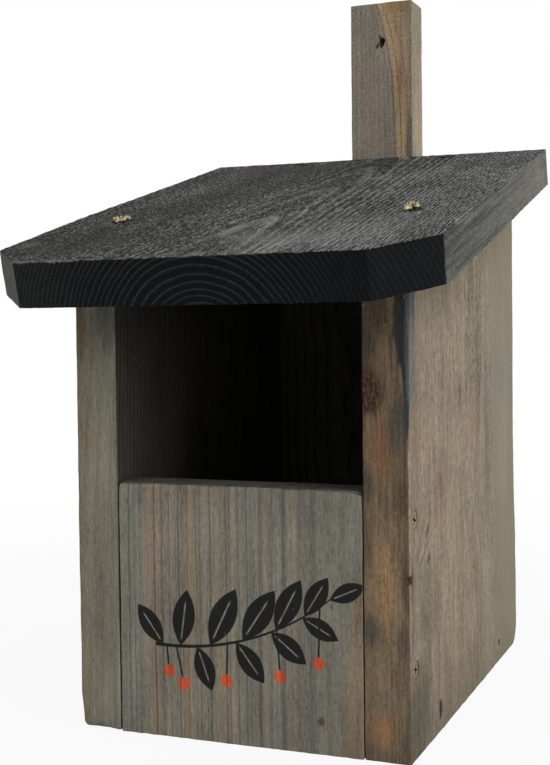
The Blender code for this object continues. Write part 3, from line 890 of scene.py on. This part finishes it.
wood = Pine("roof_board_pine", roof_frame, (5, 37), (0.01, 0.03), 4.5, 2.5, ("3f3f3d", "50504e"), gloss=0.10,
            tighter=0.0021)
ridge = wood.streaks(0.45, 7.0, 2.0) - 0.5
grit = wood.streaks(0.7, 2.6, 2.0) - 0.5
swirl = wood.noise(wood.at, (0.05, 0.05, 0.014), 3.0) - 0.5
right = (wood.across + wood.ragged * 30).over(-60, 30)
tone = (ridge * (right * 2.8 + 1.3) + grit * (5.9 - right * 4.1) + (wood.late - 0.4) * (right * 0.45 + 0.1)
        + swirl + 0.13 + right * (0.37 - wood.along.over(0, 90) * 0.08)
        - wood.along.over(170, 260) * 0.07)
# the pale end of this range is partly painted sheen on the raised fibres of the top
wood.colour = wood.mix(tone.over(-0.02, 1.0), rgb("0e0e0e"), rgb("82827e"))
wood.stains(3, (
    # the pale spots near the front of the top are painted sheen
    (-60, 240, 60, 30, 0, "3a3631", 0.4), (62, 42, 36, 46, 15, "868682", 0.12),
    (0, 50, 5, 16, 0, "8d8d88", 0.6), (30, 30, 40, 22, 20, "74746f", 0.4),
    (-88, 36, 9, 9, 0, "8a8a83", 0.3),
))
roof_top = wood.faces(slope_turn[2])
for across, along, width, length, depth in ROOF_DARK:
    wood.shadow(wood.spot((across, 0, along), (width, 3, length), fade=0.8) * roof_top, depth)
roof_side = wood.faces((1, 0, 0))
wood.stain(roof_side, "474846")
wood.stain(roof_side * wood.flecks(2.2, 60.0, 0.40, 0.62, 3.0) * 0.7, "686965")
to_rear = (wood.along + wood.ragged * 60 + wood.through * 4).over(120, 270)
wood.stain(roof_side * to_rear * 0.75, "716d67")
wood.stain(wood.faces((-1, 0, 0)), "5b5a56")
wood.stain(wood.faces(-slope_turn[2]), "57524b")
roof_ends = abs(wood.dot(wood.normal, tuple(-slope_turn[1]))).over(0.35, 0.5)
left = wood.across.under(-80, -30)
arcs = wood.late ** (1.8 - left * 1.2) * (1 - wood.across.over(30, 66) * 0.65)
end_grain = wood.mix(arcs + grit * 0.5, rgb("080a0b"), rgb("212829"))
wood.colour = wood.mix(roof_ends, wood.colour, end_grain)
wood.stain(roof_ends * left * 0.45, "242422")
lip = (wood.along + wood.through + wood.ragged * 2.4).under(0.5, 1.5)
wood.stain(lip * 0.6, "8c8c87")
left_clip = roof_ends * wood.dot(wood.normal, (-1, 0, 0)).over(0.4, 0.6)
wood.stain(left_clip, "504f4b")
# dark round each roof screw: painted shade in its torn hollow and among the splinters, with some dirt
for head in roof_heads:
    place = (head[0] * MILLIMETRES, 0, head[1] * MILLIMETRES)
    wood.stain(wood.spot(place, (5.6, 5, 6.6), 0, 0.3, 1.2) * 0.85, "1f1a16")
swell = (wood.along / (roof_length * MILLIMETRES)).over(*ROOF_SWOLLEN)
swell = swell * (0.5 - wood.across / (2 * ROOF_WIDEST * MILLIMETRES))
level = wood.through + swell * (ROOF_SWELL * MILLIMETRES)  # 0 on the top face, less above it
splinter = (level + wood.ragged * 0.8).under(-0.9, -0.45)
wood.stain(splinter, "cdbb94")
# dark among the pale splinters: painted shade between them
wood.stain(splinter * wood.flecks(1.1, 1.6, 0.52, 0.60) * 0.85, "3b2e20")
wood.height = wood.height * (1 - roof_ends * 0.6) + (ridge + grit) * 0.8 * (1 - roof_ends)
add_piece("charcoal_roof_board", points @ slope_turn + roof_corner, quads, wood.finish(specks=0.0),
          ["roof_board"], "roof_board_pine")


# Hanging batten
#
# A narrow upright pine board on the back, from the bottom to well above the roof, grey sapwood on
# one side and warm heartwood on the other. Two screws hold it, and it has a torn hole for the nail it hangs
# on.

BATTEN_STEP = (0.0018, 0.0028, 0.0026)
HANGING_HOLE = 0.0060
HOLE_HEIGHT = 0.3385
HOLE_RADII = (0.0018, 0.0030)
HOLE_SPREAD = 2.4  # the grid lines are bent round the hole up to this many radii out
HOLE_TORN = (0.25, 0.15, 0.1)  # shares of its radius that waves of 1, 3 and 7 turns round it add
HEART_MIDDLE = (26.3, 270)  # the heartwood's edge runs through here, across and along,
HEART_BEND = (11, 91)  # and bends this far across, as a cube, at this distance along

batten_low, batten_high = corners("hanging_batten")
batten_heads = [head_of("batten_screw_" + level, (0, 1, 0)) for level in ("lower", "upper")]


def bent_round_hole(points, middle, half):
    """Bends square rings of grid points round the hole into ellipses, less and less outwards.

    A point at the square distance m goes to m times its own direction's unit vector, at the
    hole's radii; the further out, the more of its old place is kept.
    """
    a = (points[:, 0] - middle[0]) / half[0]
    b = (points[:, 2] - middle[1]) / half[1]
    square = np.maximum(np.abs(a), np.abs(b))
    length = np.maximum(np.hypot(a, b), 1e-6)
    turn = np.arctan2(b, a)
    one, three, seven = HOLE_TORN
    torn = 1 + one * np.cos(turn) + three * np.sin(3 * turn + 0.6) + seven * np.sin(7 * turn)
    keep = rise(square, 1.0, HOLE_SPREAD)
    moved = points.copy()
    for axis, offset, radius in ((0, a, HOLE_RADII[0]), (2, b, HOLE_RADII[1])):
        place = middle[axis // 2] + offset / length * square * radius * torn
        moved[:, axis] = place * (1 - keep) + points[:, axis] * keep
    return np.where((square < HOLE_SPREAD)[:, None], moved, points)


def bored_batten():
    """The batten: a sawn board whose front and back skins are joined by a tube round the hole."""
    places = ([0.0], (), [HOLE_HEIGHT] + [centre[2] for centre in batten_heads])
    lines = [stations(*ends) for ends in zip(batten_low, batten_high, BATTEN_STEP, places)]
    step = strides(lines)
    spans = [np.abs(line[:, None] - (centre - HANGING_HOLE / 2, centre + HANGING_HOLE / 2)).argmin(axis=0)
             for line, centre in ((lines[0], 0.0), (lines[2], HOLE_HEIGHT))]
    (left, right), (bottom, top) = spans
    quads = skin(lines)
    x, z = quads // step[0], quads % len(lines[2])
    inside = ((x >= left) & (x <= right) & (z >= bottom) & (z <= top)).all(axis=1)
    quads = [quads[~inside]]
    even = (lines[1] > batten_low[1] + ARRIS_STEPS[-1]) & (lines[1] < batten_high[1] - ARRIS_STEPS[-1])
    through = np.concatenate([[0], np.flatnonzero(even), [len(lines[1]) - 1]]) * step[1]
    walls = through[:, None] + np.arange(bottom, top + 1)
    ends = np.arange(left, right + 1)[:, None] * step[0] + through
    quads += [cells(walls + left * step[0]), cells(walls + right * step[0])[:, ::-1],
              cells(ends + bottom), cells(ends + top)[:, ::-1]]
    points, quads = join(lines, np.concatenate(quads))
    worn = ARRIS * (1 + ARRIS_WEAR * waves(points, WEAR_WAVES, 61))
    points, out = round_over(points, batten_low, batten_high, worn)
    points = waver(points, out, 62)
    for centre in batten_heads:
        points += hollow(points, centre, (0, -1, 0), FUNNEL, HOLLOW_DEPTH)
    middle = (lines[0][spans[0]].mean(), lines[2][spans[1]].mean())
    half = (np.ptp(lines[0][spans[0]]) / 2, np.ptp(lines[2][spans[1]]) / 2)
    return bent_round_hole(points, middle, half), quads


batten_frame = board_frame("hanging_batten")
wood = Pine("hanging_batten_pine", batten_frame, (90, 20), (0.0, 0.0), 2.6, 3.0, ("7d766a", "756d60"),
            fibre=(1.2, 4.0, 0.5), felt=(1.0, 1.4, 1.5))
bend = (wood.along - HEART_MIDDLE[1]) / HEART_BEND[1]
heart = wood.across - HEART_MIDDLE[0] + HEART_BEND[0] * bend * bend * bend + wood.ragged * 1.2
wood.stain(heart.over(-0.6, 0.8), "8d7a62")
wood.bands(heart, (
    (-3.6, -2.2, 0.6, "665d50", 0.4), (-0.9, 0.3, 0.5, "5f4e3c", 0.7), (0.4, 3.2, 1.2, "9c8667", 0.8),
    (3.0, 3.9, 0.4, "6b553d", 0.6), (3.8, 6.2, 1.1, "99815f", 0.7), (6.2, 9.0, 1.2, "7d6552", 0.6),
))
wood.bands(wood.across, [(33, 40, 2.5, "6f675a", 0.5)])
wood.stains(4, (
    (8, 352, 12, 12, 0, "6e695e", 0.5), (26, 358, 8, 7, 0, "936f4a", 0.6),
    (37, 357, 8, 14, 0, "665c4c", 0.6), (29, 317, 3, 16, 0, "87604c", 0.5),
    (12, 300, 14, 40, 0, "7f7368", 0.5),
))
wood.stains(3, (
    (34.9, 272, 2.6, 28, 0, "565349", 0.7, 4), (32.5, 253, 3.6, 4, 0, "4a4236", 0.6, 4),
    (16.4, 336.8, 1.0, 2.8, 40, "1b1611", 0.9), (17.5, 341.6, 0.8, 1.5, 0, "2a221a", 0.8),
), fade=0.4, wobble=1.3)
batten_side = wood.faces((1, 0, 0))
wood.stain(batten_side * 0.8, "8f8370")
wood.shadow(batten_side * wood.along.over(325, 356), 0.2)
# painted shade in the hollows round the batten's screw heads
for centre in batten_heads:
    shade_and_fibres_at_head(wood, tuple((centre - batten_frame[0]) * MILLIMETRES), FUNNEL)
add_piece("bored_hanging_batten", *bored_batten(), wood.finish(), ["hanging_batten"], "hanging_batten_pine")


# Wood screws
#
# Sixteen countersunk screws of yellow zinc-plated steel, 3.5 mm thick, with cross recesses. Their
# heads are sunk a little below the wood, the recesses dark with dirt and painted shade, and the plating is
# dulled.

HEAD_RIM = 0.0004  # height of the head's straight edge
RECESS_REACH = 0.0019
RECESS_HALF_WIDTH = 0.00045
RECESS_DEPTH = 0.0015
RECESS_BEVEL = 1.12  # its edge is dulled as far as this share of its outline
RECESS_RINGS = (  # share of the recess's outline, depth, and grime with painted shade
    (0.5, RECESS_DEPTH, 1), (0.9, 0.8 * RECESS_DEPTH, 1), (1.0, 0.0001, 0.7), (RECESS_BEVEL, 0, 0.4),
)
FACE_RIM = 0.9  # the head is flat as far as this share of its radius
FACE_SHARES = (0.35, 0.7, 1.0)  # of the way from the recess to there, where the face's rings lie
HEAD_RINGS = (  # share of its radius, and height
    (0.96, -0.00003), (0.99, -0.00009), (1, -0.00017), (1, -HEAD_RIM),
)
FACE_GRIME, RIM_GRIME, SHANK_GRIME = 0.1, 0.3, 0.2
SHANK = 0.00135  # radius of the plain shank
THREAD_CREST = 0.00172
THREAD_ROOT = 0.00108
THREAD_PITCH = 0.0018
THREAD_ROWS = 6  # rings of points for each turn of the thread
THREAD_HALF_WIDTH = 0.3  # of the ridge, in turns
POINT_LENGTH = 0.0050
PLAIN_SHARE = 0.42  # of the length, above the thread
QUARTER = np.radians((-45, -32, -22, -13.3, -7, 0, 7, 13.3, 22, 32))  # angles of the points, in a quarter


def wood_screw(length):
    """A screw on the Z axis, its head's face at z = 0: rings of points at radius and height.

    The cross recess is star-shaped, so its outline is a radius for each angle: the arm's reach over
    the cosine or its half width over the sine, whichever is less. The head's rings go from that
    outline to a circle. The thread is a ridge whose height follows z over the pitch less the turn.
    Returns the points, the faces and the share of grime and painted shade at each point.
    """
    turn = np.concatenate([QUARTER + quarter * math.pi / 2 for quarter in range(4)])
    within = np.concatenate([QUARTER] * 4)
    cross = np.minimum(RECESS_REACH / np.cos(within),
                       RECESS_HALF_WIDTH / np.maximum(np.abs(np.sin(within)), 1e-6))
    rim = SCREW_HEAD / 2
    rings = [(share * cross, -depth, grime_and_shade) for share, depth, grime_and_shade in RECESS_RINGS]
    rings += [(cross * RECESS_BEVEL * (1 - share) + FACE_RIM * rim * share, 0, FACE_GRIME)
              for share in FACE_SHARES]
    even = np.ones_like(turn)
    rings += [(radius * rim * even, z, RIM_GRIME) for radius, z in HEAD_RINGS]
    neck = rim - SHANK + HEAD_RIM
    rings.append((SHANK * even, -neck, SHANK_GRIME))
    plain_end = -PLAIN_SHARE * length
    heights = np.arange(plain_end, -(length - POINT_LENGTH / 8), -THREAD_PITCH / THREAD_ROWS)
    rings.append((SHANK * even, plain_end + THREAD_PITCH / THREAD_ROWS, SHANK_GRIME))
    for z in heights:
        phase = (z / THREAD_PITCH - turn / (2 * math.pi)) % 1
        ridge = np.clip(1 - np.abs(phase - 0.5) / THREAD_HALF_WIDTH, 0, 1)
        start = min(1, (plain_end - z) / THREAD_PITCH)
        taper = min(1, (length + z) / POINT_LENGTH)
        radius = (THREAD_ROOT + (THREAD_CREST - THREAD_ROOT) * ridge * start) * taper
        rings.append((radius, z, SHANK_GRIME))
    count = len(turn)
    radii, heights, grime_and_shade = zip(*rings)
    radii = np.array(radii)
    z = np.repeat(heights, count).reshape(radii.shape)
    places = np.stack((radii * np.cos(turn), radii * np.sin(turn), z), axis=-1)
    points = np.concatenate([[(0, 0, -RECESS_DEPTH)], places.reshape(-1, 3), [(0, 0, -length)]])
    grime_and_shade = np.concatenate([[1], np.repeat(grime_and_shade, count), [SHANK_GRIME]])
    numbers = 1 + np.arange(radii.size).reshape(radii.shape)
    numbers = np.concatenate([numbers, numbers[:, :1]], axis=1)
    top = np.stack((np.zeros(count, int), numbers[0, :-1], numbers[0, 1:]), axis=1)
    tip = np.stack((np.full(count, len(points) - 1), numbers[-1, 1:], numbers[-1, :-1]), axis=1)
    return points, top.tolist() + cells(numbers).tolist() + tip.tolist(), grime_and_shade


zinc = Finish("yellow_zinc_steel", gloss=0.5)
zinc.shader.inputs["Metallic"].default_value = 1.0
dull = zinc.noise(zinc.coordinate(), (900, 900, 900), 3.0)
scratch = zinc.noise(zinc.coordinate(), (4000, 900, 2500), 2.0)
# dark in the recesses: painted shade there, with dirt; patchy dirt on the rest of the head
dirt_and_shade = zinc.node("ShaderNodeAttribute", {"attribute_name": "grime_and_shade"}, {}, "Fac")
dirt_and_shade = (dirt_and_shade + (dull - 0.5) * 1.1).over(0.2, 0.7)
plating = zinc.mix(dull, rgb("b5a67c"), rgb("82754f"))
zinc_colour = zinc.mix(dirt_and_shade, plating, rgb("1c1812"))
zinc.done(zinc_colour, 0.32 + dull * 0.3 + dirt_and_shade * 0.3, scratch * 0.03)


def drive(name, node, outward, twist):
    """Makes a screw in a node's place, its head outward, its recess turned by twist radians."""
    outward = np.asarray(outward, float)
    head = head_of(node, outward)
    low, high = corners(node)
    tip = np.where(outward == 0, head, np.where(outward > 0, low, high))
    points, faces, grime_and_shade = wood_screw(float(np.abs((head - tip) @ outward)))
    other = np.cross(outward, (1.0, 0, 0)) if abs(outward[0]) < 0.5 else np.array((0, 1.0, 0))
    third = np.cross(outward, other)
    across = other * math.cos(twist) + third * math.sin(twist)
    frame_axes = np.stack((across, np.cross(outward, across), outward))
    piece = add_piece(name, points @ frame_axes + head, faces, zinc.material, [node], "yellow_zinc_steel")
    layer = piece.data.attributes.new("grime_and_shade", "FLOAT", "POINT")
    layer.data.foreach_set("value", grime_and_shade.astype(np.float32))


twists = iter(np.random.default_rng(7).uniform(0, math.pi / 2, 16))
for side, sign in (("left", -1), ("right", 1)):
    for kind, _ in HOLLOWS:
        drive(f"zinc_{kind}_{side}", f"{kind}_{side}", (sign, 0, 0), next(twists))
    for place in ("front", "rear"):
        drive(f"zinc_roof_screw_{place}_{side}", f"roof_screw_{place}_{side}", slope_turn[2], next(twists))
for level in ("lower", "upper"):
    drive(f"zinc_batten_screw_{level}", f"batten_screw_{level}", (0, 1, 0), next(twists))


# Floor, light and camera
#
# A pale floor that fades into the white background, large soft lights from the right, the front
# and above, and a camera at the photograph's viewing angle.

FLOOR_REACH = 4.0
FLOOR_GREY = (0.80, 0.80, 0.80, 1.0)
WHITE = (1.0, 1.0, 1.0, 1.0)
WHITENED = (0.2, 0.9)  # the floor goes over into pure white between these distances from the middle
AMBIENT = 0.55

ground = bpy.data.meshes.new("pale_floor")
ground.from_pydata([(x * FLOOR_REACH, y * FLOOR_REACH, 0) for x, y in ((-1, -1), (1, -1), (1, 1), (-1, 1))],
                   [], [(0, 1, 2, 3)])
pale_floor = add_object("pale_floor", ground)
pale = Finish("pale_floor", gloss=0.0)
ground.materials.append(pale.material)
pale.shader.inputs["Base Color"].default_value = FLOOR_GREY
pale.shader.inputs["Roughness"].default_value = 1.0
glow = pale.node("ShaderNodeEmission", {}, {"Color": WHITE, "Strength": 1.0})
share = pale.ray("Camera") * (0.90 + 0.10 * pale.length(pale.coordinate()).over(*WHITENED))
lit = Value(pale, pale.shader.outputs[0])
blend = pale.node("ShaderNodeMixShader", {}, {0: share, 1: lit, 2: glow})
pale.feed(pale.tree.nodes["Material Output"].inputs["Surface"], blend)

world = bpy.data.worlds.new("studio")
bpy.context.scene.world = world
studio = Nodes(world)
direct = studio.ray("Camera") + studio.ray("Glossy") + studio.ray("Transmission")
direct = studio.math("MINIMUM", direct, 1.0)
background = studio.tree.nodes["Background"]
studio.feed(background.inputs["Color"], WHITE)
studio.feed(background.inputs["Strength"], direct * (1 - AMBIENT) + AMBIENT)

TARGET = np.array((0.0, 0.0, 0.17))  # where the lights point


def soft_light(name, place, size, power):
    """A square area light that faces the box."""
    lamp = bpy.data.lights.new(name, "AREA")
    lamp.size = size
    lamp.energy = power
    holder = add_object(name, lamp)
    holder.location = place
    holder.rotation_euler = Vector(TARGET - place).to_track_quat("-Z", "Y").to_euler()


soft_light("light_from_the_right", (1.8, -0.6, 0.8), 1.2, 24)
soft_light("light_from_the_front", (-0.6, -1.9, 1.0), 1.2, 4)
soft_light("light_from_above", (0.0, 0.2, 2.0), 1.4, 5)

CAMERA_PLACE = (0.21308, -0.57623, 0.17706)
CAMERA_YAW = math.radians(21.517)
CAMERA_PITCH = math.radians(-1.817)
CAMERA_ROLL = math.radians(0.642)
CAMERA_LENS = 59.35
CAMERA_SHIFT = (-0.01173, -0.02205)

lens = bpy.data.cameras.new("camera")
lens.lens = CAMERA_LENS
lens.shift_x, lens.shift_y = CAMERA_SHIFT
camera = add_object("camera", lens)
camera.matrix_world = (Matrix.Translation(CAMERA_PLACE) @ Matrix.Rotation(CAMERA_YAW, 4, "Z")
                       @ Matrix.Rotation(math.pi / 2 + CAMERA_PITCH, 4, "X")
                       @ Matrix.Rotation(-CAMERA_ROLL, 4, "Z"))
bpy.context.scene.camera = camera
bpy.context.scene.view_settings.view_transform = "Standard"
